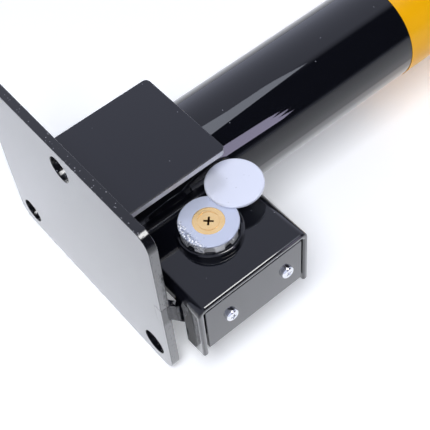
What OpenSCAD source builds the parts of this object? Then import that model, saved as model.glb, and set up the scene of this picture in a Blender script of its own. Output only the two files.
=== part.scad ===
// Folding parking barrier: a steel post that tips over on a hinge pin between two cheeks.
// A cam lock in a box on the post's side holds a tongue on the base plate.
// Millimetres, +Z along the standing post, z = 0 under the plate, tube axis at x = y = 0.
// The lock box is on the +X side, and the lock faces -Y.

/* [Base plate] */
// Length of the plate, along the way the post folds
plate_x = 142; // [140:1:160]
// Width of the plate, along the hinge pin
plate_y = 120; // [119:1:140]
// Thickness of the plate
plate_t = 5; // [4:0.5:6]
// Radius of the plate's corners
plate_r = 9; // [4:0.5:12]
// Distance from the plate's middle to the tube's axis, away from the lock box
plate_shift_x = 4; // [3:0.5:5]
// Distance from the plate's middle to the tube's axis, towards the rear cheek
plate_shift_y = 2.5; // [1:0.5:3]
// Radius of the anchor holes
anchor_r = 7.5; // [5:0.5:8]
// Distance from the plate's edges to the middle of an anchor hole
anchor_edge = 14; // [13:0.5:14.5]

/* [Cheeks] */
// Width of a cheek
cheek_w = 64; // [60:1:64]
// Height of a cheek above the plate
cheek_h = 67.5; // [60:0.5:70]
// Thickness of a cheek
cheek_t = 4; // [3:0.5:4]
// Radius of a cheek's top corners
cheek_r = 3; // [1:0.5:12]
// Space between the tube and a cheek
cheek_space = 2.6; // [2:0.1:2.8]
// Size of a weld bead
weld_r = 3; // [1.5:0.5:3]

/* [Hinge] */
// Height of the hinge pin above the plate
pin_h = 43; // [41:0.5:45]
// Radius of the hinge pin
pin_r = 6; // [5:0.5:7]
// Radius of the hinge pin's head
pin_head_r = 10; // [9:0.5:12]
// Thickness of the hinge pin's head
pin_head_t = 4; // [3:0.5:5]
// Wall of the pivot sleeve
sleeve_wall = 3; // [2:0.5:4]
// Radial clearance of turning fits
turn_gap = 0.05; // [0.02:0.01:0.08]
// Clearance at each end of the pivot sleeve
end_gap = 0.3; // [0.1:0.1:0.5]

/* [Post] */
// Outer radius of the tube
tube_r = 30; // [29:0.5:30.5]
// Wall of the tube
tube_wall = 2.5; // [2:0.1:3]
// Height of the tube's top end above the ground
tube_top = 645; // [560:5:700]
// Clearance between the tube's lower end and the plate
foot_gap = 0.5; // [0.3:0.1:1]
// Height of the post cap's rim above the tube
cap_rim = 5; // [3:0.5:8]
// Depth of the post cap's plug inside the tube
cap_plug = 18; // [10:1:25]
// Wall of the post cap's plug
cap_wall = 2.5; // [2:0.5:4]

/* [Bands] */
// Height of the lower band's lower edge above the ground
band_z = 210; // [190:5:230]
// Height of each band
band_h = 110; // [80:5:120]
// Distance from one band to the next
band_pitch = 220; // [200:5:240]
// Thickness of the band film
band_t = 0.3; // [0.2:0.1:0.5]

/* [Lock box] */
// Distance from the tube's axis to the box's open end
box_x = 82.2; // [81.5:0.1:86]
// Distance from the tube's axis to the box's face
box_face = 9.6; // [8:0.1:10.5]
// Depth of the box from its face to the free edges of its sides
box_depth = 43.3; // [41:0.1:45]
// Height of the box along the post
box_h = 70.7; // [68:0.1:74]
// Space between the plate and the box
box_lift = 5.8; // [5:0.1:7]
// Thickness of the box's sheet
box_wall = 3.5; // [3:0.1:4]
// Outer radius of the box's bends
box_bend = 5; // [4.5:0.1:7]
// Depth at which the box's sides step clear of the rear cheek
relief_y = 22; // [18:0.5:24]
// Clearance between the box's stepped sides and the rear cheek
relief_gap = 2; // [1:0.5:3]

/* [Box cover] */
// Thickness of the cover
cover_t = 3; // [2:0.5:3.5]
// How far the cover lies behind the box's edge
cover_inset = 0.5; // [0.2:0.1:1]
// Gap round the cover
cover_gap = 0.8; // [0.5:0.1:1.2]
// How far the cover stops short of the free edges of the box's sides
cover_short = 4.7; // [3:0.1:6]
// Distance from the box's face to the cover screws
screw_drop = 21.6; // [18:0.1:24]
// Height of the lower cover screw above the box's lower side
screw_low = 19.2; // [17:0.1:20]
// Depth of the upper cover screw below the box's upper side
screw_high = 14.8; // [14:0.1:17]
// Radius of the cover screws' thread
screw_r = 2; // [1.5:0.5:2.5]
// Length of the cover screws' thread
screw_l = 8; // [7:0.5:9]
// Radius of the cover screws' heads
screw_head_r = 3.7; // [3.4:0.1:4.2]
// Height of the cover screws' heads
screw_head_t = 2.4; // [2:0.1:3]
// Thickness of the cover tabs
tab_t = 3; // [2:0.5:3.5]
// Width of the cover tabs
tab_w = 16; // [12:1:20]

/* [Lock] */
// Distance from the tube's axis to the lock's axis
lock_x = 49.2; // [48.5:0.1:50]
// Height of the lock's axis above the box's lower side
lock_rise = 34.6; // [34:0.1:36]
// Outer radius of the lock collar
collar_r = 17.5; // [17:0.1:18]
// Height of the lock collar
collar_h = 3.5; // [3:0.5:5]
// Radius of the lock's head
head_r = 15.4; // [15:0.1:16]
// Height of the lock's head above the box's face
head_h = 9; // [8:0.5:10]
// Thickness of the plain rim on the lock's head
head_rim = 1; // [0.8:0.1:2]
// Half the width of each arch cut in the skirt under the head's rim
notch_r = 2.7; // [1.5:0.1:3]
// How far each arch is cut into the skirt
notch_in = 2.6; // [1.5:0.1:3]
// Plain height between each arch and the rim
notch_land = 0.5; // [0.3:0.1:0.8]
// Number of arches round the skirt
notch_count = 9; // [6:1:10]
// Radius of the lock's barrel
barrel_r = 11; // [10.5:0.1:11.2]
// Length of the lock's barrel below the box's face
barrel_l = 19; // [17:0.5:19.5]
// Radius of the plug's face
plug_r = 8.2; // [7.8:0.1:8.4]
// Radius of the plug's body behind its face
plug_body_r = 6.8; // [6:0.1:7]
// Depth of the plug's face ring
plug_face_t = 6; // [4:0.5:8]
// Length of each arm of the key slot
key_arm = 2.6; // [2:0.1:3]
// Width of the key slot's arms
key_w = 1.1; // [0.8:0.1:1.4]
// Depth of the key slot
key_depth = 12; // [8:1:14]
// Radius of the ring groove round the key slot
ring_r = 5.5; // [5:0.1:6]
// Width across the flats of the lock nut
nut_flats = 27; // [25:0.5:28]
// Thickness of the lock nut
nut_t = 5; // [3:0.5:6]
// Radius of the lock washer
washer_r = 14; // [13:0.5:15]
// Thickness of the lock washer
washer_t = 1.2; // [0.8:0.1:1.6]

/* [Cam] */
// Length of the cam from the lock's axis to its tip
cam_l = 21; // [19.5:0.5:22]
// Width of the cam
cam_w = 10; // [9:0.5:11]
// Thickness of the cam
cam_t = 3; // [2:0.5:3.5]
// Width of the square that drives the cam
drive_w = 6; // [5:0.5:6]
// Space between the barrel's end and the cam
cam_space = 0.4; // [0.3:0.1:0.8]
// Width across the flats of the cam nut
cam_nut_flats = 8; // [7:0.5:9]
// Thickness of the cam nut
cam_nut_t = 4; // [3:0.5:5]
// Radius of the thread that holds the cam nut
tail_r = 2.4; // [2:0.1:2.5]

/* [Tongue] */
// Thickness of the tongue
tongue_t = 5; // [4:0.5:5]
// Width of the tongue's foot in the plate
foot_w = 13.5; // [12:0.5:15]
// Distance from the tube's axis to the foot's far side, towards the front cheek
foot_y = 5.5; // [4:0.5:7]
// Width of the tongue on each side of its window
rib_w = 5; // [4:0.5:6]
// Height of the slanted neck above the plate
neck_h = 7; // [5:0.5:8]
// Height of the tongue above its window
rib_h = 7.6; // [5:0.1:10]
// Clearance round the cam in the tongue's window
window_gap = 1; // [0.8:0.1:1.4]
// Free lift of the locked post before the cam meets the tongue
play = 2; // [1:0.5:3]
// Clearance of the tongue in the box's slot
slot_gap = 0.8; // [0.6:0.1:1.2]

/* [Dust cap] */
// Radius of the dust cap
dust_r = 15.2; // [14.8:0.1:15.6]
// Thickness of the dust cap
dust_t = 1.8; // [1.2:0.1:2.4]
// Space between the lock's head and the dust cap
dust_gap = 0.3; // [0.2:0.1:0.5]
// Distance from the lock's axis to the dust cap's stud
stud_d = 12.7; // [12.4:0.1:12.9]
// Radius of the dust cap's stud
stud_r = 1.5; // [1.2:0.1:1.6]
// Length of the dust cap's stud
stud_l = 6; // [4:0.5:7]
// Angle by which the dust cap stands open
dust_open = 195; // [185:1:200]
// Gap between the open dust cap and the post
dust_clear = 2.5; // [1:0.1:4]

/* [Hidden] */
$fn = 96;
eps = 0.01;

// Clearance of fixed fits within one assembly
seat_gap = 0.02;

// Plate edges
plate_x0 = -plate_x / 2 - plate_shift_x;
plate_x1 = plate_x / 2 - plate_shift_x;
plate_y0 = -plate_y / 2 - plate_shift_y;
plate_y1 = plate_y / 2 - plate_shift_y;
plate_mid_x = (plate_x0 + plate_x1) / 2;

// Cheeks and hinge
cheek_in = tube_r + cheek_space;
cheek_out = cheek_in + cheek_t;
cheek_top = plate_t + cheek_h;
pin_z = plate_t + pin_h;
sleeve_r = pin_r + turn_gap + sleeve_wall;
sleeve_l = 2 * (cheek_in - end_gap);
tube_foot = plate_t + foot_gap;
swing_r = pin_z - tube_foot;

// Lock box
box_z0 = plate_t + box_lift;
box_z1 = box_z0 + box_h;
box_y0 = -box_face;
box_y1 = box_depth - box_face;
cope_r = tube_r + seat_gap;
cope_x = sqrt(cope_r * cope_r - relief_y * relief_y) - 1;
relief_x = cheek_w / 2 + relief_gap;

// Box cover and its screws
cover_x1 = box_x - cover_inset;
cover_x0 = cover_x1 - cover_t;
cover_y0 = box_y0 + box_wall + cover_gap;
cover_y1 = box_y1 - cover_short;
cover_z0 = box_z0 + box_wall + cover_gap;
cover_z1 = box_z1 - box_wall - cover_gap;
cover_r = max(box_bend - box_wall - cover_gap, 0.5);
screw_y = box_y0 + screw_drop;
screw_z0 = box_z0 + screw_low;
screw_z1 = box_z0 + box_h - screw_high;
tab_x1 = cover_x0;
tab_reach = screw_head_r + 3;

// Lock, in its own frame: z points out of the lock's face
lock_z = box_z0 + lock_rise;
head_top = box_face + head_h;
skirt_r = head_r - 0.4;
arch_z = head_top - head_rim - notch_land - notch_r;
barrel_end = box_face - barrel_l;
sheet_in = box_face - box_wall;
face_sink = 0.2;
plug_top = head_top - face_sink;
plug_step = plug_top - plug_face_t;
cam_top = barrel_end - cam_space;
cam_end = cam_top - cam_t;
tail_end = cam_end - cam_nut_t;

// Tongue: the cam's plane sets the window's place across, its sweep sets the window's height
tongue_x1 = plate_x1;
tongue_x0 = tongue_x1 - tongue_t;
foot_y1 = foot_w - foot_y;
window_y0 = -cam_top - window_gap;
window_y1 = -cam_end + window_gap;
head_y0 = window_y0 - rib_w;
head_y1 = window_y1 + rib_w;
cam_reach = norm([cam_l, cam_w / 2]);
window_z0 = lock_z - sqrt(pow(cam_reach, 2) - pow(tongue_x0 - lock_x, 2)) - window_gap;
window_z1 = lock_z + cam_w / 2 + play;
tongue_top = window_z1 + rib_h;
neck_z = plate_t + neck_h;

// Slot in the box's lower side: the tongue's inner face sweeps it when the post tips
slot_x0 = sqrt(pow(tongue_x0, 2) - pow(pin_z - box_z0, 2)) - slot_gap;
slot_x1 = tongue_x1 + slot_gap;
slot_y0 = (head_y0 + foot_y) * min(box_lift / neck_h, 1) - foot_y - slot_gap;

// Dust cap: its stud stands where both the closed and the open place are stud_d away
dust_low = head_top + dust_gap;
post_side = sqrt(tube_r * tube_r - dust_low * dust_low);
dust_far = 2 * stud_d * sin(dust_open / 2);
dust_aim = acos((post_side + dust_clear + dust_r - lock_x) / dust_far);
stud_aim = dust_aim + (180 - dust_open) / 2;
stud_x = stud_d * cos(stud_aim);
stud_z = stud_d * sin(stud_aim);
dust_x = stud_x + stud_d * cos(stud_aim + 180 + dust_open);
dust_z = stud_z + stud_d * sin(stud_aim + 180 + dust_open);

// Rectangle with four corners of radius r
module rounded_rect(w, h, r) {
    square([w - 2 * r, h], center = true);
    square([w, h - 2 * r], center = true);
    for (x = [-1, 1])
        for (y = [-1, 1])
            translate([x * (w / 2 - r), y * (h / 2 - r)]) circle(r);
}

// Rectangle from (x0, y0) to (x1, y1) with radius r at the two corners where x is x0
module round_sided(x0, x1, y0, y1, r) {
    translate([x0 + r, y0]) square([x1 - x0 - r, y1 - y0]);
    translate([x0, y0 + r]) square([r + eps, y1 - y0 - 2 * r]);
    translate([x0 + r, y0 + r]) circle(r);
    translate([x0 + r, y1 - r]) circle(r);
}

// Turns a profile drawn in (y, z) into a bar along X from x0 to x1
module along_x(x0, x1) {
    translate([x0, 0, 0]) rotate([90, 0, 90]) linear_extrude(x1 - x0) children();
}

// Puts a piece drawn round the lock's axis in its place, z pointing out of the lock's face
module on_lock() {
    translate([lock_x, 0, lock_z]) rotate([90, 0, 0]) children();
}

// Ring between two radii, from z0 up to z1
module ring(r_out, r_in, z0, z1) {
    translate([0, 0, z0]) difference() {
        cylinder(h = z1 - z0, r = r_out);
        translate([0, 0, -1]) cylinder(h = z1 - z0 + 2, r = r_in);
    }
}

// Hexagon prism with a round bore, from z0 up to z1
module hex_nut(flats, bore_r, z0, z1) {
    translate([0, 0, z0]) difference() {
        cylinder(h = z1 - z0, r = flats / sqrt(3), $fn = 6);
        translate([0, 0, -1]) cylinder(h = z1 - z0 + 2, r = bore_r);
    }
}

// Weld bead in the corner between the plate and an upright face, l long
module weld_bead(l) {
    rotate([90, 0, 90]) linear_extrude(l, center = true) intersection() {
        square([weld_r, weld_r]);
        circle(weld_r);
    }
}

module base_plate() {
    color("#16161a") difference() {
        translate([plate_mid_x, -plate_shift_y, 0]) linear_extrude(plate_t)
            rounded_rect(plate_x, plate_y, plate_r);
        for (x = [plate_x0 + anchor_edge, plate_x1 - anchor_edge])
            translate([x, plate_y1 - anchor_edge, -1]) cylinder(h = plate_t + 2, r = anchor_r);
        translate([plate_mid_x, plate_y0 + anchor_edge, -1]) cylinder(h = plate_t + 2, r = anchor_r);
        translate([tongue_x0 - seat_gap, -foot_y - seat_gap, -1])
            cube([tongue_t + 1, foot_w + 2 * seat_gap, plate_t + 2]);
    }
}

// Flat cheek with its inner face at y = 0 and its outer face at y = cheek_t
module cheek() {
    difference() {
        translate([0, cheek_t, 0]) rotate([90, 0, 0]) linear_extrude(cheek_t) {
            translate([-cheek_w / 2, plate_t]) square([cheek_w, cheek_h - cheek_r]);
            translate([cheek_r - cheek_w / 2, plate_t]) square([cheek_w - 2 * cheek_r, cheek_h]);
            for (x = [-1, 1])
                translate([x * (cheek_w / 2 - cheek_r), cheek_top - cheek_r]) circle(cheek_r);
        }
        translate([0, -1, pin_z]) rotate([-90, 0, 0]) cylinder(h = cheek_t + 2, r = pin_r + seat_gap);
    }
}

module front_cheek() {
    color("#16161a") translate([0, -cheek_in, 0]) mirror([0, 1, 0]) cheek();
}

module rear_cheek() {
    color("#16161a") translate([0, cheek_in, 0]) cheek();
}

module cheek_welds() {
    color("#1c1c20") for (side = [0, 1])
        mirror([0, side, 0]) translate([0, cheek_out, plate_t]) weld_bead(cheek_w - 4);
}

// Outline of the tongue in (y, z)
module tongue_outline() {
    polygon([
        [-foot_y, 0],
        [foot_y1, 0],
        [foot_y1, plate_t],
        [head_y1, neck_z],
        [head_y1, tongue_top],
        [head_y0, tongue_top],
        [head_y0, neck_z],
        [-foot_y, plate_t]
    ]);
}

module lock_tongue() {
    color("#16161a") difference() {
        along_x(tongue_x0, tongue_x1) tongue_outline();
        translate([tongue_x0 - 1, window_y0, window_z0])
            cube([tongue_t + 2, window_y1 - window_y0, window_z1 - window_z0]);
    }
}

module tongue_weld() {
    color("#1c1c20") along_x(tongue_x0, tongue_x1) difference() {
        translate([-foot_y, plate_t]) intersection() {
            circle(weld_r);
            translate([-weld_r, 0]) square([2 * weld_r, weld_r]);
        }
        tongue_outline();
    }
}

module hinge_pin() {
    color("#3a3a40") translate([0, -cheek_out, pin_z]) rotate([-90, 0, 0]) {
        cylinder(h = 2 * cheek_out, r = pin_r);
        translate([0, 0, 2 * cheek_out]) rotate_extrude() polygon([
            [0, 0],
            [pin_head_r, 0],
            [pin_head_r, pin_head_t - 1],
            [pin_head_r - 1, pin_head_t],
            [0, pin_head_t]
        ]);
    }
}

module post_tube() {
    color("#111114") difference() {
        translate([0, 0, tube_foot]) cylinder(h = tube_top - tube_foot, r = tube_r);
        translate([0, 0, tube_foot - 1]) cylinder(h = tube_top - tube_foot + 2, r = tube_r - tube_wall);
        translate([0, 0, pin_z]) rotate([90, 0, 0])
            cylinder(h = 2 * tube_r + 2, r = sleeve_r + seat_gap, center = true);
        difference() {
            translate([-tube_r - 1, -tube_r - 1, tube_foot - 1]) cube([tube_r + 1, 2 * tube_r + 2, swing_r + 1]);
            translate([0, 0, pin_z]) rotate([90, 0, 0])
                cylinder(h = 2 * tube_r + 4, r = swing_r, center = true);
        }
    }
}

module pivot_sleeve() {
    color("#55555c") translate([0, 0, pin_z]) rotate([90, 0, 0]) difference() {
        cylinder(h = sleeve_l, r = sleeve_r, center = true);
        cylinder(h = sleeve_l + 2, r = pin_r + turn_gap, center = true);
    }
}

module post_cap() {
    plug_out = tube_r - tube_wall - seat_gap;
    color("#141416") translate([0, 0, tube_top]) rotate_extrude() difference() {
        union() {
            square([tube_r, cap_rim - 2]);
            square([tube_r - 2, cap_rim]);
            translate([tube_r - 2, cap_rim - 2]) circle(2);
            translate([0, -cap_plug]) square([plug_out, cap_plug + eps]);
        }
        translate([0, -cap_plug - 1]) square([plug_out - cap_wall, cap_plug + 1]);
    }
}

module band(z) {
    color("#f6ab14") ring(tube_r + band_t, tube_r + seat_gap, z, z + band_h);
}

module lower_yellow_band() {
    band(band_z);
}

module upper_yellow_band() {
    band(band_z + band_pitch);
}

module lock_box() {
    color("#16161a") difference() {
        along_x(cope_x, box_x) difference() {
            round_sided(box_y0, box_y1, box_z0, box_z1, box_bend);
            round_sided(box_y0 + box_wall, box_y1 + 1, box_z0 + box_wall, box_z1 - box_wall,
                        box_bend - box_wall);
        }
        translate([0, 0, box_z0 - 1]) cylinder(h = box_h + 2, r = cope_r);
        translate([cope_x - 1, relief_y, box_z0 - 1]) cube([relief_x - cope_x + 1, box_depth, box_h + 2]);
        translate([slot_x0, slot_y0, box_z0 - 1]) cube([slot_x1 - slot_x0, box_depth + box_face, box_wall + 2]);
        on_lock() translate([0, 0, sheet_in - 1]) cylinder(h = box_wall + 2, r = barrel_r + seat_gap);
    }
}

module box_cover() {
    color("#35363b") difference() {
        along_x(cover_x0, cover_x1) round_sided(cover_y0, cover_y1, cover_z0, cover_z1, cover_r);
        for (z = [screw_z0, screw_z1])
            translate([cover_x0 - 1, screw_y, z]) rotate([0, 90, 0])
                cylinder(h = cover_t + 2, r = screw_r + 0.25);
    }
}

// Angle tab behind the cover, its foot on the box's side at z = foot_z, reaching up or down
module cover_tab(foot_z, screw_z) {
    up = screw_z > foot_z ? 1 : -1;
    tab_l = abs(screw_z - foot_z) + tab_reach;
    color("#2a2a2e") difference() {
        translate([0, screw_y - tab_w / 2, foot_z]) mirror([0, 0, up > 0 ? 0 : 1]) union() {
            translate([tab_x1 - tab_t, 0, 0]) cube([tab_t, tab_w, tab_l]);
            translate([slot_x1 + 1, 0, 0]) cube([tab_x1 - slot_x1 - 1, tab_w, tab_t]);
        }
        translate([tab_x1 - tab_t - 1, screw_y, screw_z]) rotate([0, 90, 0])
            cylinder(h = tab_t + 2, r = screw_r + seat_gap);
    }
}

module lower_cover_tab() {
    cover_tab(box_z0 + box_wall, screw_z0);
}

module upper_cover_tab() {
    cover_tab(box_z1 - box_wall, screw_z1);
}

// Pan-head screw with a cross recess, its head standing on the cover
module cover_screw(z) {
    edge_t = screw_head_t / 3;
    dome_t = screw_head_t - edge_t;
    dome_r = (pow(screw_head_r, 2) + pow(dome_t, 2)) / (2 * dome_t);
    color("#c9cbd0") translate([cover_x1, screw_y, z]) rotate([0, 90, 0]) {
        translate([0, 0, -screw_l]) cylinder(h = screw_l + edge_t, r = screw_r);
        difference() {
            rotate_extrude() intersection() {
                translate([0, screw_head_t - dome_r]) circle(dome_r);
                square([screw_head_r, screw_head_t + 1]);
            }
            for (a = [0, 90])
                rotate(a) translate([-screw_r, -0.45, screw_head_t - 1.4]) cube([2 * screw_r, 0.9, 2]);
        }
    }
}

module lower_cover_screw() {
    cover_screw(screw_z0);
}

module upper_cover_screw() {
    cover_screw(screw_z1);
}

module lock_collar() {
    color("#131316") on_lock() translate([0, 0, box_face]) rotate_extrude() difference() {
        union() {
            translate([head_r + 0.1, 0]) square([collar_r - head_r - 0.1, collar_h - 1]);
            translate([head_r + 0.1, 0]) square([collar_r - head_r - 1.1, collar_h]);
            translate([collar_r - 1, collar_h - 1]) circle(1);
        }
        square([head_r + 0.1, collar_h + 1]);
    }
}

module lock_housing() {
    color("#d8dade") on_lock() difference() {
        union() {
            translate([0, 0, barrel_end]) cylinder(h = barrel_l + 1, r = barrel_r);
            rotate_extrude() polygon([
                [0, box_face],
                [skirt_r, box_face],
                [skirt_r, head_top - head_rim],
                [head_r, head_top - head_rim],
                [head_r, head_top - 0.4],
                [head_r - 0.4, head_top],
                [0, head_top]
            ]);
        }
        translate([0, 0, plug_step]) cylinder(h = head_top, r = plug_r + turn_gap);
        translate([0, 0, barrel_end - 1]) cylinder(h = head_top - barrel_end, r = plug_body_r + turn_gap);
        translate([stud_x, stud_z, head_top - stud_l]) cylinder(h = stud_l + 1, r = stud_r + turn_gap);
        for (i = [0 : notch_count - 1])
            rotate(stud_aim + (i + 0.5) * 360 / notch_count) translate([skirt_r - notch_in, 0, 0]) {
                translate([0, 0, arch_z]) rotate([0, 90, 0]) cylinder(h = notch_in + 1, r = notch_r);
                translate([0, -notch_r, box_face - 1]) cube([notch_in + 1, 2 * notch_r, arch_z - box_face + 1]);
            }
    }
}

module lock_washer() {
    color("#a9abb0") on_lock() ring(washer_r, barrel_r + 0.2, sheet_in - washer_t, sheet_in);
}

module lock_nut() {
    color("#b4b6bb") on_lock() hex_nut(nut_flats, barrel_r + seat_gap, sheet_in - washer_t - nut_t, sheet_in - washer_t);
}

module lock_plug() {
    color("#d9b265") on_lock() difference() {
        union() {
            translate([0, 0, plug_step + seat_gap]) cylinder(h = plug_face_t - seat_gap, r = plug_r);
            translate([0, 0, cam_top]) cylinder(h = plug_step - cam_top + 1, r = plug_body_r);
            translate([-drive_w / 2, -drive_w / 2, cam_end]) cube([drive_w, drive_w, cam_t + 1]);
            translate([0, 0, tail_end]) cylinder(h = cam_nut_t + 1, r = tail_r);
        }
        for (a = [45, 135])
            rotate(a) translate([-key_arm, -key_w / 2, plug_top - key_depth]) cube([2 * key_arm, key_w, key_depth + 1]);
        ring(ring_r + 0.15, ring_r - 0.15, plug_top - 0.3, plug_top + 1);
    }
}

module lock_cam() {
    hub_r = plug_body_r + 2;
    color("#8f9298") on_lock() translate([0, 0, cam_end]) difference() {
        union() {
            cylinder(h = cam_t, r = hub_r);
            translate([-cam_w / 2, -cam_l, 0]) cube([cam_w, cam_l, cam_t]);
        }
        translate([-drive_w / 2 - seat_gap, -drive_w / 2 - seat_gap, -1])
            cube([drive_w + 2 * seat_gap, drive_w + 2 * seat_gap, cam_t + 2]);
    }
}

module cam_nut() {
    color("#b4b6bb") on_lock() hex_nut(cam_nut_flats, tail_r + seat_gap, tail_end, cam_end);
}

module dust_cap() {
    color("#e4e6ea") on_lock() {
        translate([dust_x, dust_z, dust_low]) rotate_extrude() polygon([
            [0, 0],
            [dust_r - 0.3, 0],
            [dust_r, 0.3],
            [dust_r, dust_t - 0.4],
            [dust_r - 0.4, dust_t],
            [0, dust_t]
        ]);
        translate([stud_x, stud_z, head_top - stud_l + 0.5]) cylinder(h = stud_l - 0.5 + dust_gap + 0.5, r = stud_r);
    }
}

base_plate();
front_cheek();
rear_cheek();
cheek_welds();
lock_tongue();
tongue_weld();
hinge_pin();
post_tube();
pivot_sleeve();
post_cap();
lower_yellow_band();
upper_yellow_band();
lock_box();
box_cover();
lower_cover_tab();
upper_cover_tab();
lower_cover_screw();
upper_cover_screw();
lock_collar();
lock_housing();
lock_washer();
lock_nut();
lock_plug();
lock_cam();
cam_nut();
dust_cap();
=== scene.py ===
import math

import bpy
import mathutils
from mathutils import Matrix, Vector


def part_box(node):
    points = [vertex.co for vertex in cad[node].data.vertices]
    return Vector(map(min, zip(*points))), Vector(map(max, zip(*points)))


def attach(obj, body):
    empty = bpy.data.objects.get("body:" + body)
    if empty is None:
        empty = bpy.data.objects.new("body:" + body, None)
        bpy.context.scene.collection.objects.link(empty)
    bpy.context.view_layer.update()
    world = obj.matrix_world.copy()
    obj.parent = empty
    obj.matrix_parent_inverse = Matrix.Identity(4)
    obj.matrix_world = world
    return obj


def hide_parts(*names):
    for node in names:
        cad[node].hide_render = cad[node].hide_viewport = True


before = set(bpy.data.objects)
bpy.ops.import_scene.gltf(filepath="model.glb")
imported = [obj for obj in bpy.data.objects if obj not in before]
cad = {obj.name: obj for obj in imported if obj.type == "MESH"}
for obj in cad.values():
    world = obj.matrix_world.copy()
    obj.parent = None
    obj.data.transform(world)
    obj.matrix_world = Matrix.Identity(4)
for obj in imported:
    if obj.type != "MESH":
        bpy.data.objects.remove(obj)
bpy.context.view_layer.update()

# The camera: a long lens held low, looking at the underside of the plate and along the
# post. Place, turn and focal length come from a fit to the edges in the photograph.
camera_place = (0.28534, -0.42206, -0.11429)
camera_turn = (120.954, -49.903, 5.742)
camera_data = bpy.data.cameras.new("camera")
camera_data.sensor_width = 36
camera_data.lens = 84.72
camera_data.clip_end = 50
camera = bpy.data.objects.new("camera", camera_data)
camera.location = camera_place
camera.rotation_euler = [math.radians(a) for a in camera_turn]
bpy.context.scene.collection.objects.link(camera)
bpy.context.scene.camera = camera
bpy.context.scene.view_settings.view_transform = "Standard"

# The room: a white studio. Polished pieces mirror its white walls, and behind the camera
# and to its right the room is dark, which is what the tube's black middle mirrors. The
# walls themselves give the object a third of its light and the overhead lamp the rest.
bright_room = 1.0
dark_room = 0.03
wall_share = 0.38
dark_way = (0.683, -0.573, 0.454)
dark_rim = (0.77, 0.87)


def linear(hex_colour):
    """An sRGB hex colour as the linear colour that a shader takes."""
    shares = [int(hex_colour[i:i + 2], 16) / 255 for i in (1, 3, 5)]
    return [s / 12.92 if s <= 0.04045 else ((s + 0.055) / 1.055) ** 2.4 for s in shares] + [1.0]


def add_node(tree, kind, inputs=None, **settings):
    """One node with its settings; inputs gives a socket a value or another node's output."""
    node = tree.nodes.new(kind)
    for name, value in settings.items():
        setattr(node, name, value)
    for socket, value in (inputs or {}).items():
        if isinstance(value, bpy.types.NodeSocket):
            tree.links.new(value, node.inputs[socket])
        else:
            node.inputs[socket].default_value = value
    return node


def combine(tree, operation, *values, **settings):
    """One sum on numbers or other nodes' outputs."""
    node = add_node(tree, "ShaderNodeMath", dict(enumerate(values)), operation=operation, **settings)
    return node.outputs[0]


def spread(tree, value, low, high, start=0.0, end=1.0, **settings):
    """Turns the span from low to high into the span from start to end, and stops there."""
    node = add_node(tree, "ShaderNodeMapRange",
                    {"Value": value, "From Min": low, "From Max": high, "To Min": start, "To Max": end},
                    **settings)
    return node.outputs["Result"]


room = bpy.data.worlds.new("studio_room")
room.use_nodes = True
room_tree = room.node_tree
room_tree.nodes.clear()
room_way = add_node(room_tree, "ShaderNodeTexCoord")
towards_dark = add_node(room_tree, "ShaderNodeVectorMath",
                        {0: room_way.outputs["Generated"], 1: dark_way}, operation="DOT_PRODUCT")
room_level = spread(room_tree, towards_dark.outputs["Value"], *dark_rim, bright_room, dark_room,
                    interpolation_type="SMOOTHSTEP")
room_ray = add_node(room_tree, "ShaderNodeLightPath")
room_share = spread(room_tree, room_ray.outputs["Is Glossy Ray"], 0.0, 1.0, wall_share, 1.0)
room_power = combine(room_tree, "MULTIPLY", room_level, room_share)
room_light = add_node(room_tree, "ShaderNodeBackground",
                      {"Color": linear("#e3e8ff"), "Strength": room_power})
room_white = add_node(room_tree, "ShaderNodeBackground", {"Color": linear("#ffffff"), "Strength": 1.0})
room_mix = add_node(room_tree, "ShaderNodeMixShader", {0: room_ray.outputs["Is Camera Ray"],
                    1: room_light.outputs[0], 2: room_white.outputs[0]})
add_node(room_tree, "ShaderNodeOutputWorld", {"Surface": room_mix.outputs[0]})
bpy.context.scene.world = room

# The lamp: a soft box high over the table and a little to the camera's side, so that the
# shadows fall close under the object. Its own mirror image is left to the light cards.
lamp_way = (0.32, -0.90, -0.30)
lamp_far = 1.6
soft_box = bpy.data.lights.new("soft_box", "AREA")
soft_box.shape = "SQUARE"
soft_box.size = 0.8
soft_box.energy = 21
soft_box.color = linear("#fafbff")[:3]
lamp = bpy.data.objects.new("soft_box", soft_box)
lamp.location = [lamp_far * c for c in lamp_way]
lamp.rotation_euler = lamp.location.to_track_quat("Z", "Y").to_euler()
lamp.visible_glossy = False
bpy.context.scene.collection.objects.link(lamp)

# Light cards: lit diffusers beside the camera, each with its corners, colour and power.
# The tube mirrors a long grey wedge and a short lavender streak with a torn end, and the
# rounded edges of the steel mirror the third.
light_cards = {
    "wedge_card": (((0.318, -1.76, 1.097), (-0.175, -1.893, 0.766), (0.729, -1.765, 0.743)),
                   "#e8eeff", 4.2),
    "streak_card": (((1.552, -0.998, 0.946), (1.58, -0.90, 0.975), (1.63, -0.80, 0.950),
                     (1.66, -0.72, 1.000), (1.70, -0.60, 0.960), (1.76, -0.48, 1.015),
                     (1.79, -0.391, 0.979), (1.81, -0.589, 0.761), (1.477, -1.194, 0.778)),
                    "#e2dbff", 6.5),
    "edge_card": (((-0.10, -1.85, 0.30), (0.70, -1.75, 0.30), (0.70, -1.75, 0.75), (-0.10, -1.85, 0.75)),
                  "#ffffff", 22),
}


def bare_material(name):
    """A material whose node tree is still empty."""
    material = bpy.data.materials.new(name)
    material.use_nodes = True
    material.node_tree.nodes.clear()
    return material


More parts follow.
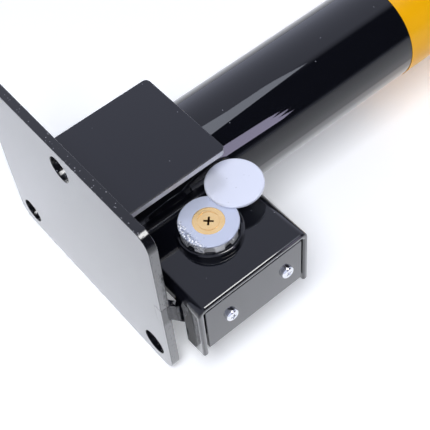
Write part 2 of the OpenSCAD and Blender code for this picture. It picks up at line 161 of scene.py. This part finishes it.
for name, (corners, tone, power) in light_cards.items():
    bpy.ops.object.select_all(action="DESELECT")
    bpy.ops.mesh.primitive_circle_add(vertices=len(corners), fill_type="NGON")
    card = bpy.context.object
    card.name = name
    for corner, place in zip(card.data.vertices, corners):
        corner.co = place
    card.visible_camera = False
    card.visible_diffuse = False
    card.visible_shadow = False
    lit_card = bare_material(name)
    card_glow = add_node(lit_card.node_tree, "ShaderNodeEmission",
                         {"Color": linear(tone), "Strength": power})
    add_node(lit_card.node_tree, "ShaderNodeOutputMaterial", {"Surface": card_glow.outputs[0]})
    card.data.materials.append(lit_card)

# The table: the post lies on a white table, which the +Y edge of the plate touches. It
# shows from its front only, so that a view from behind sees the object and not its back.
table_y = 0.0577
table_over = 0.28
bpy.ops.object.select_all(action="DESELECT")
bpy.ops.mesh.primitive_plane_add(size=8, location=(0, table_y, 0.3), rotation=(math.radians(90), 0, 0))
table = bpy.context.object
table.name = "table"
white_table = bare_material("white_table")
table_tree = white_table.node_tree
table_side = add_node(table_tree, "ShaderNodeNewGeometry")
table_ray = add_node(table_tree, "ShaderNodeLightPath")
table_white = add_node(table_tree, "ShaderNodeBsdfDiffuse", {"Color": linear("#fbfcfd")})
# The photograph shows the table a little overexposed, to the camera and in reflections.
seen_or_mirrored = combine(table_tree, "MAXIMUM", table_ray.outputs["Is Camera Ray"],
                           table_ray.outputs["Is Glossy Ray"])
table_seen = combine(table_tree, "MAXIMUM", seen_or_mirrored, table_ray.outputs["Is Transmission Ray"])
table_level = combine(table_tree, "MULTIPLY", table_seen, table_over)
table_glow = add_node(table_tree, "ShaderNodeEmission",
                      {"Color": linear("#f8fafc"), "Strength": table_level})
table_front = add_node(table_tree, "ShaderNodeAddShader",
                       {0: table_white.outputs[0], 1: table_glow.outputs[0]})
table_clear = add_node(table_tree, "ShaderNodeBsdfTransparent")
table_mix = add_node(table_tree, "ShaderNodeMixShader", {0: table_side.outputs["Backfacing"],
                     1: table_front.outputs[0], 2: table_clear.outputs[0]})
add_node(table_tree, "ShaderNodeOutputMaterial", {"Surface": table_mix.outputs[0]})
table.data.materials.append(white_table)

# The ground under the plate for views from above. Only camera rays from above see it, so
# the plate's underside still gets its light.
ground_z = -0.0003
ground_over = 0.5
bpy.ops.object.select_all(action="DESELECT")
bpy.ops.mesh.primitive_plane_add(size=8, location=(0, 0, ground_z))
ground = bpy.context.object
ground.name = "ground"
pale_ground = bare_material("pale_ground")
ground_tree = pale_ground.node_tree
ground_side = add_node(ground_tree, "ShaderNodeNewGeometry")
ground_ray = add_node(ground_tree, "ShaderNodeLightPath")
ground_front = combine(ground_tree, "SUBTRACT", ground_ray.outputs["Is Camera Ray"],
                       ground_side.outputs["Backfacing"], use_clamp=True)
ground_matt = add_node(ground_tree, "ShaderNodeBsdfDiffuse", {"Color": linear("#f7f8f9")})
ground_glow = add_node(ground_tree, "ShaderNodeEmission",
                       {"Color": linear("#ffffff"), "Strength": ground_over})
ground_white = add_node(ground_tree, "ShaderNodeAddShader",
                        {0: ground_matt.outputs[0], 1: ground_glow.outputs[0]})
ground_clear = add_node(ground_tree, "ShaderNodeBsdfTransparent")
ground_mix = add_node(ground_tree, "ShaderNodeMixShader",
                      {0: ground_front, 1: ground_clear.outputs[0], 2: ground_white.outputs[0]})
add_node(ground_tree, "ShaderNodeOutputMaterial", {"Surface": ground_mix.outputs[0]})
ground.data.materials.append(pale_ground)

# Base plate: 5 mm mild steel, sheared to size with rounded corners, drilled for three
# ground anchors and notched for the lock's tongue, then sprayed with black stove enamel.
plate_mid = (-0.004, -0.0025, 0.0025)
plate_size = (0.142, 0.120, 0.005)
plate_corner = 0.009
plate_edge = 0.0009
anchor_r = 0.0075
anchor_places = ((-0.061, 0.0435), (0.053, 0.0435), (-0.004, -0.0485))
drill_length = 0.02
tongue_notch = ((0.06198, -0.00552), (0.0690, 0.00802))
overcut = 0.001
# Edges are picked by their place, to within this.
slack = 0.001


def block(name, low, high):
    """A squared block of stock between two corners, with its place in its mesh."""
    bpy.ops.object.select_all(action="DESELECT")
    middle = [(a + b) / 2 for a, b in zip(low, high)]
    bpy.ops.mesh.primitive_cube_add(size=1, location=middle, scale=[b - a for a, b in zip(low, high)])
    bpy.context.object.name = name
    bpy.ops.object.transform_apply(location=True, rotation=True, scale=True)
    return bpy.context.object


def rod(name, centre, radius, length, axis, sides=64):
    """A round bar about a centre along X, Y or Z, with its place in its mesh."""
    bpy.ops.object.select_all(action="DESELECT")
    turn = {"X": (0, math.radians(90), 0), "Y": (math.radians(90), 0, 0), "Z": (0, 0, 0)}[axis]
    bpy.ops.mesh.primitive_cylinder_add(vertices=sides, radius=radius, depth=length, location=centre,
                                        rotation=turn)
    bpy.context.object.name = name
    bpy.ops.object.transform_apply(location=True, rotation=True, scale=True)
    return bpy.context.object


def take_up(piece):
    """Selects this piece alone, as the one to be worked on."""
    bpy.ops.object.select_all(action="DESELECT")
    piece.select_set(True)
    bpy.context.view_layer.objects.active = piece


def edit_edges(piece, wanted, sharp=0):
    """Opens the piece in edit mode with only the wanted edges selected, sharper than an angle."""
    take_up(piece)
    bpy.ops.object.mode_set(mode="EDIT")
    bpy.ops.mesh.select_mode(type="EDGE")
    bpy.ops.mesh.select_all(action="DESELECT")
    if sharp:
        bpy.ops.mesh.edges_select_sharp(sharpness=math.radians(sharp))
    bpy.ops.object.mode_set(mode="OBJECT")
    for edge in piece.data.edges:
        ends = [piece.data.vertices[i].co for i in edge.vertices]
        edge.select = wanted(*ends) and (edge.select or not sharp)
    bpy.ops.object.mode_set(mode="EDIT")


def cut(piece, cutter):
    """Cuts the cutter's shape out of the piece and throws the cutter away."""
    saw = piece.modifiers.new("cut", "BOOLEAN")
    saw.operation = "DIFFERENCE"
    saw.object = cutter
    bpy.context.view_layer.objects.active = piece
    bpy.ops.object.modifier_apply(modifier="cut")
    bpy.data.objects.remove(cutter)


def shade_true(piece):
    """Shades the taken-up piece smooth, with each flat face flat up to its broken edge."""
    bpy.ops.object.shade_smooth_by_angle(angle=math.radians(35))
    true_faces = piece.modifiers.new("true_faces", "WEIGHTED_NORMAL")
    true_faces.keep_sharp = True
    bpy.ops.object.modifier_apply(modifier="true_faces")


def deburr(piece, width, steps=2, sharp=40):
    """Breaks the sharp edges, as the enamel rounds them, and shades the rest smooth."""
    file_edge = piece.modifiers.new("deburr", "BEVEL")
    file_edge.width = width
    file_edge.segments = steps
    file_edge.limit_method = "ANGLE"
    file_edge.angle_limit = math.radians(sharp)
    take_up(piece)
    bpy.ops.object.modifier_apply(modifier="deburr")
    shade_true(piece)


def finish_piece(piece, material, body, slot, *nodes):
    """Gives a piece its main finish and its body, and hides the CAD nodes that it stands for. The slot is not
    used.
    """
    piece.data.materials.append(material)
    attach(piece, body)
    if nodes:
        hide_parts(*nodes)


def new_finish(name, constants):
    """A material with constants on its shader. Gives it with its tree, shader and place."""
    material = bpy.data.materials.new(name)
    material.use_nodes = True
    tree = material.node_tree
    shader = tree.nodes["Principled BSDF"]
    for socket, value in constants.items():
        shader.inputs[socket].default_value = value
    place = add_node(tree, "ShaderNodeTexCoord")
    return material, tree, shader, place.outputs["Object"]


def grain(tree, place, size_mm, detail, rough=0.5):
    """A noise with grains of this size in millimetres."""
    node = add_node(tree, "ShaderNodeTexNoise",
                    {"Vector": place, "Scale": 1000 / size_mm, "Detail": detail, "Roughness": rough})
    return node.outputs[0]


def two_tone(tree, share, first, second):
    """Mixes two colours by a share; each is a hex colour or another node's output."""
    tones = [t if isinstance(t, bpy.types.NodeSocket) else linear(t) for t in (first, second)]
    node = add_node(tree, "ShaderNodeMix", {"Factor": share, 6: tones[0], 7: tones[1]}, data_type="RGBA")
    return node.outputs[2]


def relief(tree, height, strength, depth):
    """A surface relief from a height, over a depth in metres."""
    return add_node(tree, "ShaderNodeBump", {"Height": height, "Strength": strength, "Distance": depth})


def sprayed_enamel(name, colour, gloss_rough, peel_mm, peel_height, edge_radius, low_gloss,
                   nib_mm=7, nib_size=0.04):
    """Black stove enamel over steel: nearly black from the front, a mirror at a low angle,
    with the faint orange peel of a spray gun and a few dust nibs caught as it baked."""
    material, tree, shader, place = new_finish(name, {
        "Roughness": gloss_rough, "IOR": 1.5, "Coat IOR": 3.5, "Coat Roughness": gloss_rough * 0.7})
    peel = grain(tree, place, peel_mm, 2.0, 0.4)
    # A nib sits at the middle of about every second cell.
    nib_cells = add_node(tree, "ShaderNodeTexVoronoi", {"Vector": place, "Scale": 1000 / nib_mm})
    nib_near = spread(tree, nib_cells.outputs["Distance"], nib_size * 0.75, nib_size * 1.5, 1.0, 0.0)
    nib_pick = add_node(tree, "ShaderNodeSeparateColor", {"Color": nib_cells.outputs["Color"]})
    nib_some = combine(tree, "GREATER_THAN", nib_pick.outputs["Red"], 0.55)
    nibs = combine(tree, "MULTIPLY", nib_near, nib_some)
    tree.links.new(two_tone(tree, nibs, colour, "#74757c"), shader.inputs["Base Color"])
    skin = relief(tree, combine(tree, "MULTIPLY_ADD", nibs, 2.0, peel), 0.5, peel_height)
    # The enamel flows round each edge of the steel.
    edge = add_node(tree, "ShaderNodeBevel", {"Radius": edge_radius}, samples=4)
    tree.links.new(edge.outputs[0], skin.inputs["Normal"])
    tree.links.new(skin.outputs[0], shader.inputs["Normal"])
    tree.links.new(skin.outputs[0], shader.inputs["Coat Normal"])
    # The coat's share rises steeply as the view gets lower.
    low_angle = add_node(tree, "ShaderNodeLayerWeight", {"Blend": 0.5, "Normal": edge.outputs[0]})
    low_curve = combine(tree, "POWER", low_angle.outputs["Facing"], 3.0)
    coat_share = combine(tree, "MULTIPLY", low_curve, low_gloss, use_clamp=True)
    tree.links.new(coat_share, shader.inputs["Coat Weight"])
    return material


black_enamel = sprayed_enamel("black_stove_enamel", "#101119", gloss_rough=0.07, peel_mm=2.5,
                              peel_height=0.000012, edge_radius=0.0006, low_gloss=1.6)
# On the sheared sides the enamel is thick and lumpy.
thick_enamel = sprayed_enamel("enamel_on_sheared_edge", "#0b0c10", gloss_rough=0.16, peel_mm=1.6,
                              peel_height=0.00008, edge_radius=0.0002, low_gloss=3.2,
                              nib_mm=1.6, nib_size=0.16)

plate_low = [m - s / 2 for m, s in zip(plate_mid, plate_size)]
plate_high = [m + s / 2 for m, s in zip(plate_mid, plate_size)]
plate = block("ground_plate", plate_low, plate_high)
edit_edges(plate, lambda a, b: abs(a.z - b.z) > slack)
bpy.ops.mesh.bevel(offset=plate_corner, segments=14, affect="EDGES")
bpy.ops.object.mode_set(mode="OBJECT")
for x, y in anchor_places:
    cut(plate, rod("drill", (x, y, plate_mid[2]), anchor_r, drill_length, "Z"))
cut(plate, block("notch_tool", (*tongue_notch[0], plate_low[2] - overcut),
                 (*tongue_notch[1], plate_high[2] + overcut)))
deburr(plate, plate_edge, 4)
finish_piece(plate, black_enamel, "base", "black_paint", "base_plate")
plate.data.materials.append(thick_enamel)
for face in plate.data.polygons:
    face.material_index = 1 if abs(face.normal.z) < 0.5 else 0

# Cheeks: two 4 mm steel plates with rounded top corners, welded upright on the base
# plate. Their laser-cut edges are painted a pale satin grey, a painted reflection of
# the bright strip of light that the black enamelled edges catch.
cheek_half = 0.032
cheek_foot = 0.005
cheek_top = 0.0725
cheek_in = 0.0326
cheek_out = 0.0366
cheek_corner = 0.003
cheek_edge = 0.0004

# The pale grey is a painted reflection on edges whose enamel is black.
cut_edge_painted_sheen, edge_tree, edge_shader, edge_place = new_finish("laser_cut_edge_painted_sheen", {
    "Roughness": 0.32, "Metallic": 0.1})
edge_patches = grain(edge_tree, edge_place, 9, 3.0)
edge_tree.links.new(two_tone(edge_tree, edge_patches, "#d6d6dc", "#a3a4ad"), edge_shader.inputs["Base Color"])
# The beam leaves fine drag lines across the edge, about 0.6 mm apart.
edge_squash = add_node(edge_tree, "ShaderNodeMapping", {"Vector": edge_place, "Scale": (1.0, 0.12, 1.0)})
edge_lines = relief(edge_tree, grain(edge_tree, edge_squash.outputs[0], 0.6, 1.0), 0.5, 0.00008)
edge_tree.links.new(edge_lines.outputs[0], edge_shader.inputs["Normal"])

for name, near, far in (("front_cheek", -cheek_out, -cheek_in), ("rear_cheek", cheek_in, cheek_out)):
    cheek = block(name + "_plate", (-cheek_half, near, cheek_foot), (cheek_half, far, cheek_top))
    edit_edges(cheek, lambda a, b: abs(a.y - b.y) > slack and a.z > cheek_top - slack)
    bpy.ops.mesh.bevel(offset=cheek_corner, segments=8, affect="EDGES")
    bpy.ops.object.mode_set(mode="OBJECT")
    deburr(cheek, cheek_edge)
    finish_piece(cheek, black_enamel, "base", "black_paint", name)
    cheek.data.materials.append(cut_edge_painted_sheen)
    for face in cheek.data.polygons:
        face.material_index = 1 if abs(face.normal.y) < 0.3 else 0

# Weld beads: one run along the outer foot of each cheek, one on the tongue's foot and
# three round the box where it meets the tube, each a row of overlapping scales of steel
# under the same enamel.
bead_step = 0.0013
bead_squash = (0.75, 1.0, 1.0)
foot_bead_r = 0.0027
foot_bead_x = (-0.0295, 0.0300)
foot_bead_z = 0.0052
tongue_bead_share = 0.9
tongue_bead_in = 0.0002
tongue_bead_up = 0.0003
seam_bead_r = 0.0014
seam_tube_r = 0.0303
seam_heights = {"upper_box_weld": 0.0813, "lower_box_weld": 0.0110}
seam_angles = [-17 + 2.46 * i for i in range(25)]
front_seam = ((0.0289, -0.0097, 0.0135), (0.0289, -0.0097, 0.0790))


def weld_run(name, path, radius, body, *nodes):
    """A weld bead along a list of points: one squashed, tilted ball for each pulse of the torch."""
    bpy.ops.object.select_all(action="DESELECT")
    bpy.ops.object.add(type="MESH", location=(0, 0, 0))
    bead = bpy.context.object
    bead.name = name
    bpy.ops.object.mode_set(mode="EDIT")
    for here, ahead in zip(path[:-1], path[1:]):
        way = mathutils.Vector(ahead) - mathutils.Vector(here)
        turn = way.to_track_quat("X", "Z").to_euler()
        bpy.ops.mesh.primitive_uv_sphere_add(segments=14, ring_count=9, radius=radius, location=here,
                                             rotation=turn, scale=bead_squash)
    bpy.ops.object.mode_set(mode="OBJECT")
    bpy.ops.object.shade_smooth()
    finish_piece(bead, black_enamel, body, "black_paint", *nodes)


def straight(start, end):
    """Points one weld step apart from start to end."""
    steps = max(int((mathutils.Vector(end) - mathutils.Vector(start)).length / bead_step), 2)
    return [[a + (b - a) * i / steps for a, b in zip(start, end)] for i in range(steps + 1)]


front_foot, rear_foot = [[(x, y, foot_bead_z) for x in foot_bead_x] for y in (-cheek_out, cheek_out)]
weld_run("front_cheek_weld", straight(*front_foot), foot_bead_r, "base", "cheek_welds")
weld_run("rear_cheek_weld", straight(*rear_foot), foot_bead_r, "base")
weld_low, weld_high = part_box("tongue_weld")
weld_r = min(weld_high.y - weld_low.y, weld_high.z - weld_low.z) * tongue_bead_share
tongue_foot = [(x, weld_high.y - tongue_bead_in, weld_low.z + tongue_bead_up)
               for x in (weld_low.x + weld_r, weld_high.x - weld_r)]
weld_run("tongue_foot_weld", straight(*tongue_foot), weld_r, "base", "tongue_weld")
for name, height in seam_heights.items():
    arc = [(seam_tube_r * math.cos(math.radians(a)), seam_tube_r * math.sin(math.radians(a)), height)
           for a in seam_angles]
    weld_run(name, arc, seam_bead_r, "post")
weld_run("front_box_weld", straight(*front_seam), seam_bead_r, "post")

# Hinge pin: a turned steel pin with a flat head behind the rear cheek. Its front end is
# ground flush and painted over. Zinc plated, as are the sleeve, washer, nuts and cam.
pin_r = 0.006
pin_length = 0.0729
pin_mid_y = 0.00015
pin_height = 0.048
pin_head_r = 0.010
pin_head_t = 0.004
pin_edge = 0.0005

# Zinc plate has a faint blue and straw bloom in patches a few millimetres wide.
zinc_plate, zinc_tree, zinc, zinc_place = new_finish("bright_zinc_plate", {"Metallic": 1.0})
zinc_bloom = grain(zinc_tree, zinc_place, 4, 3.0)
zinc_tree.links.new(two_tone(zinc_tree, zinc_bloom, "#c3cad6", "#cfcabb"), zinc.inputs["Base Color"])
zinc_tree.links.new(spread(zinc_tree, zinc_bloom, 0.0, 1.0, 0.16, 0.34), zinc.inputs["Roughness"])
zinc_scratch = relief(zinc_tree, grain(zinc_tree, zinc_place, 0.5, 2.0), 0.3, 0.00003)
zinc_tree.links.new(zinc_scratch.outputs[0], zinc.inputs["Normal"])

pin = rod("turned_hinge_pin", (0, pin_mid_y, pin_height), pin_r, pin_length, "Y", 96)
bpy.ops.object.mode_set(mode="EDIT")
bpy.ops.mesh.primitive_cylinder_add(vertices=96, radius=pin_head_r, depth=pin_head_t,
                                    location=(0, cheek_out + pin_head_t / 2, pin_height),
                                    rotation=(math.radians(90), 0, 0))
bpy.ops.object.mode_set(mode="OBJECT")
deburr(pin, pin_edge, 3)
finish_piece(pin, zinc_plate, "base", "zinc_steel", "hinge_pin")


def dress(material, *names):
    """Gives these CAD nodes one material."""
    for name in names:
        cad[name].data.materials.clear()
        cad[name].data.materials.append(material)


dress(zinc_plate, "pivot_sleeve", "lock_washer", "lock_nut", "lock_cam", "cam_nut")

# Post tube: drawn steel tube of 60 mm, coped at its foot and turning on the hinge pin.
# The same enamel lies smoother on the round than on the plates.
tube_enamel = sprayed_enamel("black_enamel_on_drawn_tube", "#0c0d13", gloss_rough=0.025, peel_mm=3.5,
                             peel_height=0.000006, edge_radius=0.0005, low_gloss=1.0)
dress(tube_enamel, "post_tube")

# Lock box: one 3.5 mm sheet folded to a U, coped to the tube and welded on, with its free
# edges broken by a file. The tongue is enamelled with the base plate that it is let into,
# the cover tabs and the collar with the box.
box_edge = 0.0014
box_rim_x = 0.0821


def broken_rim(name, node, rim_x, width, material, slot):
    """A merged copy of a CAD node's mesh with the edges of its +X rim rounded over."""
    piece = bpy.data.objects.new(name, cad[node].data.copy())
    bpy.context.scene.collection.objects.link(piece)
    piece.data.materials.clear()
    take_up(piece)
    bpy.ops.object.mode_set(mode="EDIT")
    bpy.ops.mesh.select_all(action="SELECT")
    bpy.ops.mesh.remove_doubles(threshold=0.000005)
    bpy.ops.mesh.dissolve_limited(angle_limit=math.radians(1))
    bpy.ops.object.mode_set(mode="OBJECT")
    edit_edges(piece, lambda a, b: min(a.x, b.x) > rim_x, 50)
    bpy.ops.mesh.bevel(offset=width, segments=5, affect="EDGES", clamp_overlap=False)
    bpy.ops.object.mode_set(mode="OBJECT")
    shade_true(piece)
    finish_piece(piece, material, "post", slot, node)


box_enamel = sprayed_enamel("black_enamel_on_folded_box", "#0c0d13", gloss_rough=0.05, peel_mm=2.5,
                            peel_height=0.00001, edge_radius=0.0004, low_gloss=2.2)
broken_rim("folded_lock_box", "lock_box", box_rim_x, box_edge, box_enamel, "black_paint")
dress(black_enamel, "lock_tongue")
dress(box_enamel, "lower_cover_tab", "upper_cover_tab", "lock_collar")

# Yellow bands: self-adhesive vinyl film wrapped once round the enamelled tube, with a
# lap of a few millimetres at the back where its end covers its start.
film_r = 0.0303
film_height = 0.110
film_feet = {"lower_film_lap": 0.210, "upper_film_lap": 0.430}
lap_width = 0.012
lap_out = 0.00018
lap_t = 0.00016

yellow_film, film_tree, film, film_place = new_finish("yellow_vinyl_film", {
    "Roughness": 0.3, "Specular IOR Level": 0.3})
film_cloud = grain(film_tree, film_place, 30, 3.0)
film_tree.links.new(two_tone(film_tree, film_cloud, "#ffbf00", "#ffb200"), film.inputs["Base Color"])
# Cast vinyl has a fine leathery grain, about 0.4 mm.
film_grain = relief(film_tree, grain(film_tree, film_place, 0.4, 2.0), 0.3, 0.00003)
film_tree.links.new(film_grain.outputs[0], film.inputs["Normal"])
dress(yellow_film, "lower_yellow_band", "upper_yellow_band")


def beyond_lap(point):
    """Whether a point lies outside the strip at the back that is lapped."""
    return math.hypot(point.x, point.y - film_r) > lap_width / 2


for name, foot in film_feet.items():
    bpy.ops.object.select_all(action="DESELECT")
    bpy.ops.mesh.primitive_cylinder_add(vertices=240, radius=film_r + lap_out, depth=film_height,
                                        location=(0, 0, foot + film_height / 2), end_fill_type="NOTHING")
    lap = bpy.context.object
    lap.name = name
    bpy.ops.object.transform_apply(location=True, rotation=True, scale=True)
    edit_edges(lap, lambda a, b: beyond_lap(a) or beyond_lap(b))
    bpy.ops.mesh.delete(type="EDGE")
    bpy.ops.object.mode_set(mode="OBJECT")
    thick = lap.modifiers.new("film", "SOLIDIFY")
    thick.thickness = lap_t
    thick.offset = -1
    bpy.ops.object.modifier_apply(modifier="film")
    bpy.ops.object.shade_smooth_by_angle(angle=math.radians(30))
    finish_piece(lap, yellow_film, "post", "yellow_film")

# Post cap: black polyethylene, injection moulded with a fine spark texture, and pushed
# into the tube's open end.
cap_plastic, cap_tree, cap_shader, cap_place = new_finish("black_polyethylene", {
    "Base Color": linear("#1b1c1e"), "Roughness": 0.42})
cap_spark = relief(cap_tree, grain(cap_tree, cap_place, 0.5, 3.0), 0.4, 0.00008)
cap_tree.links.new(cap_spark.outputs[0], cap_shader.inputs["Normal"])
dress(cap_plastic, "post_cap")

# Box cover: 3 mm steel plate that closes the open end of the box and is screwed to its
# tabs. Its satin black powder coat is a shade lighter than the box.
cover_edge = 0.0005
cover_face_x = 0.0816
cover_powder = sprayed_enamel("satin_black_powder_coat", "#13151c", gloss_rough=0.12, peel_mm=1.2,
                              peel_height=0.00002, edge_radius=0.0003, low_gloss=1.6)
broken_rim("pressed_box_cover", "box_cover", cover_face_x, cover_edge, cover_powder, "cover_paint")

# Cover screws: M4 pan heads with a cross recess, cold headed, thread rolled and nickel
# plated. Each has its height and the angle at which its recess came to rest.
cover_screws = {"lower_cover_screw": (0.0300, -10), "upper_cover_screw": (0.0667, 25)}
screw_y = 0.012
screw_head_r = 0.0037
screw_head_x = (0.08172, 0.08405)
screw_brow_x = 0.0835
screw_crown = 0.0014
screw_burr = 0.00008
recess_arm = 0.0023
recess_w = 0.0010
recess_deep = 0.0017
bit_top_x = 0.0850
bit_taper = (1, 0.35, 0.7)
thread_pitch = 0.0007
thread_out = 0.0020
thread_in = 0.00162
thread_start_x = 0.0738
thread_turns = 11

bright_nickel = new_finish("bright_nickel_plate", {
    "Base Color": linear("#e6e7ea"), "Metallic": 1.0, "Roughness": 0.12})[0]

for name, (height, rest_angle) in cover_screws.items():
    screw = rod(name + "_nickel", (sum(screw_head_x) / 2, screw_y, height), screw_head_r,
                screw_head_x[1] - screw_head_x[0], "X", 48)
    edit_edges(screw, lambda a, b: min(a.x, b.x) > screw_brow_x)
    bpy.ops.mesh.bevel(offset=screw_crown, segments=6, affect="EDGES")
    bpy.ops.object.mode_set(mode="OBJECT")
    for quarter in (0, 90):
        bit = block("driver_bit", (screw_head_x[1] - recess_deep, -recess_arm, -recess_w / 2),
                    (bit_top_x, recess_arm, recess_w / 2))
        edit_edges(bit, lambda a, b: max(a.x, b.x) < screw_brow_x)
        bpy.ops.transform.resize(value=bit_taper)
        bpy.ops.object.mode_set(mode="OBJECT")
        bit.rotation_euler = (math.radians(rest_angle + quarter), 0, 0)
        bit.location = (0, screw_y, height)
        take_up(bit)
        bpy.ops.object.transform_apply(location=True, rotation=True, scale=True)
        cut(screw, bit)
    deburr(screw, screw_burr, 1)
    # The thread: a V profile, carried round the shank.
    thread_profile = ((0, thread_in), (thread_pitch, thread_in), (thread_pitch / 2, thread_out),
                      (thread_pitch / 2, thread_out))
    bpy.ops.object.select_all(action="DESELECT")
    bpy.ops.mesh.primitive_plane_add(size=thread_pitch, location=(0, 0, 0))
    thread = bpy.context.object
    thread.name = "thread"
    for vertex, (along, out) in zip(thread.data.vertices, thread_profile):
        vertex.co = (along, 0, out)
    bpy.ops.object.mode_set(mode="EDIT")
    bpy.ops.mesh.select_all(action="SELECT")
    bpy.ops.mesh.remove_doubles(threshold=0.00001)
    bpy.ops.mesh.delete(type="ONLY_FACE")
    bpy.ops.object.mode_set(mode="OBJECT")
    roll = thread.modifiers.new("roll", "SCREW")
    roll.axis = "X"
    roll.screw_offset = thread_pitch
    roll.iterations = thread_turns
    roll.steps = 24
    roll.render_steps = 24
    bpy.ops.object.modifier_apply(modifier="roll")
    thread.location = (thread_start_x, screw_y, height)
    bpy.ops.object.transform_apply(location=True, rotation=True, scale=True)
    bpy.ops.object.shade_smooth()
    bpy.ops.object.select_all(action="DESELECT")
    thread.select_set(True)
    screw.select_set(True)
    bpy.context.view_layer.objects.active = screw
    bpy.ops.object.join()
    finish_piece(screw, bright_nickel, "post", "zinc_steel", name)

# Lock housing and dust cap: die cast zinc in satin nickel plate, which spreads reflections.
# The head's lower rim keeps a few coarse casting pits. A nut holds the housing in the box,
# and the cap turns on its own stud.
pit_border_z = (0.0385, 0.0400)
pit_ragged = 0.010
pit_strength = 0.9
pit_depth = 0.0003
skirt_highlight_y = (-0.0176, -0.0174)

satin_nickel, satin_tree, satin, satin_place = new_finish("satin_nickel_on_die_casting", {
    "Metallic": 0.2, "Base Color": linear("#eaeefb"), "Coat Weight": 0.6, "Coat Roughness": 0.05})
satin_cloud = grain(satin_tree, satin_place, 3, 3.0)
satin_tree.links.new(spread(satin_tree, satin_cloud, 0.0, 1.0, 0.24, 0.36), satin.inputs["Roughness"])
dress(satin_nickel, "dust_cap")

cast_nickel = satin_nickel.copy()
cast_nickel.name = "nickel_on_pitted_casting"
cast_tree = cast_nickel.node_tree
cast_shader = cast_tree.nodes["Principled BSDF"]
cast_place = add_node(cast_tree, "ShaderNodeTexCoord").outputs["Object"]
cast_parts = add_node(cast_tree, "ShaderNodeSeparateXYZ", {"Vector": cast_place})
# The pits reach from the lower rim up to about z = 35 mm, with a ragged border.
ragged = grain(cast_tree, cast_place, 2.2, 3.0)
ragged_z = combine(cast_tree, "MULTIPLY_ADD", ragged, pit_ragged, cast_parts.outputs["Z"])
pitted = spread(cast_tree, ragged_z, *pit_border_z, 1.0, 0.0)
# Round pits about 1.5 mm apart in half of the cells, and rough crumbs between them.
pit_cells = add_node(cast_tree, "ShaderNodeTexVoronoi", {"Vector": cast_place, "Scale": 1000 / 1.5})
pit_round = spread(cast_tree, pit_cells.outputs["Distance"], 0.25, 0.5)
pit_pick = add_node(cast_tree, "ShaderNodeSeparateColor", {"Color": pit_cells.outputs["Color"]})
pit_some = combine(cast_tree, "GREATER_THAN", pit_pick.outputs["Red"], 0.5)
pit_wall = combine(cast_tree, "MAXIMUM", pit_round, pit_some)
crumbs = grain(cast_tree, cast_place, 0.9, 3.0)
pit_height = combine(cast_tree, "MULTIPLY_ADD", crumbs, 0.9, pit_wall)
pit_share = combine(cast_tree, "MULTIPLY", pitted, pit_strength)
cast_skin = relief(cast_tree, pit_height, pit_share, pit_depth)
cast_tree.links.new(cast_skin.outputs[0], cast_shader.inputs["Normal"])
# The skirt under the head is painted white, a painted highlight for the bright light that its teeth catch.
skirt_highlight = spread(cast_tree, cast_parts.outputs["Y"], *skirt_highlight_y)
skirt_highlight_colour = two_tone(cast_tree, skirt_highlight, "#ccd3e6", "#ffffff")
# Crumbs are painted white as painted highlights, and the pits and the hollows between crumbs are painted grey
# as painted shade.
hollow = spread(cast_tree, crumbs, 0.50, 0.44)
pit_shade = combine(cast_tree, "SUBTRACT", 1.0, pit_wall)
pit_dark = combine(cast_tree, "MAXIMUM", pit_shade, hollow)
pit_painted_shade = combine(cast_tree, "MULTIPLY", pit_dark, pit_share)
cast_colour = two_tone(cast_tree, pit_painted_shade, skirt_highlight_colour, "#7b8395")
crumb_top = spread(cast_tree, crumbs, 0.53, 0.58)
crumb_light = combine(cast_tree, "MULTIPLY", crumb_top, pitted)
cast_tint = two_tone(cast_tree, crumb_light, cast_colour, "#ffffff")
cast_tree.links.new(cast_tint, cast_shader.inputs["Base Color"])
dress(cast_nickel, "lock_housing")

# Lock plug: free-cutting brass, which turns in the housing with the key. It was faced on
# a lathe, which leaves fine rings round its cross-shaped slot.
plug_centre = (0.0492, 0.0, 0.0454)
lathe_scale = 142.857
slot_shade = (0.0002, 0.0009)

turned_brass, brass_tree, brass, brass_place = new_finish("turned_brass", {
    "Metallic": 0.85, "Roughness": 0.22})
brass_cloud = grain(brass_tree, brass_place, 5, 3.0)
brass_colour = two_tone(brass_tree, brass_cloud, "#ffe0a6", "#f9cd88")
# Lathe rings 2.2 mm apart; at scale 1 a wave texture has them 314 mm apart.
brass_middle = add_node(brass_tree, "ShaderNodeMapping",
                        {"Vector": brass_place, "Location": [-c for c in plug_centre]})
lathe_rings = add_node(brass_tree, "ShaderNodeTexWave",
                       {"Vector": brass_middle.outputs[0], "Scale": lathe_scale, "Distortion": 0.4,
                        "Detail": 1.0}, wave_type="RINGS", rings_direction="Y")
brass_skin = relief(brass_tree, lathe_rings.outputs[0], 0.4, 0.00003)
brass_tree.links.new(brass_skin.outputs[0], brass.inputs["Normal"])
# The slot is painted dark brown below the face, a painted shade inside the recess.
brass_parts = add_node(brass_tree, "ShaderNodeSeparateXYZ", {"Vector": brass_place})
plug_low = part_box("lock_plug")[0]
slot_painted_shade = spread(brass_tree, brass_parts.outputs["Y"], *[plug_low.y + s for s in slot_shade])
brass_tree.links.new(two_tone(brass_tree, slot_painted_shade, brass_colour, "#8a5a2c"), brass.inputs["Base Color"])
dress(turned_brass, "lock_plug")
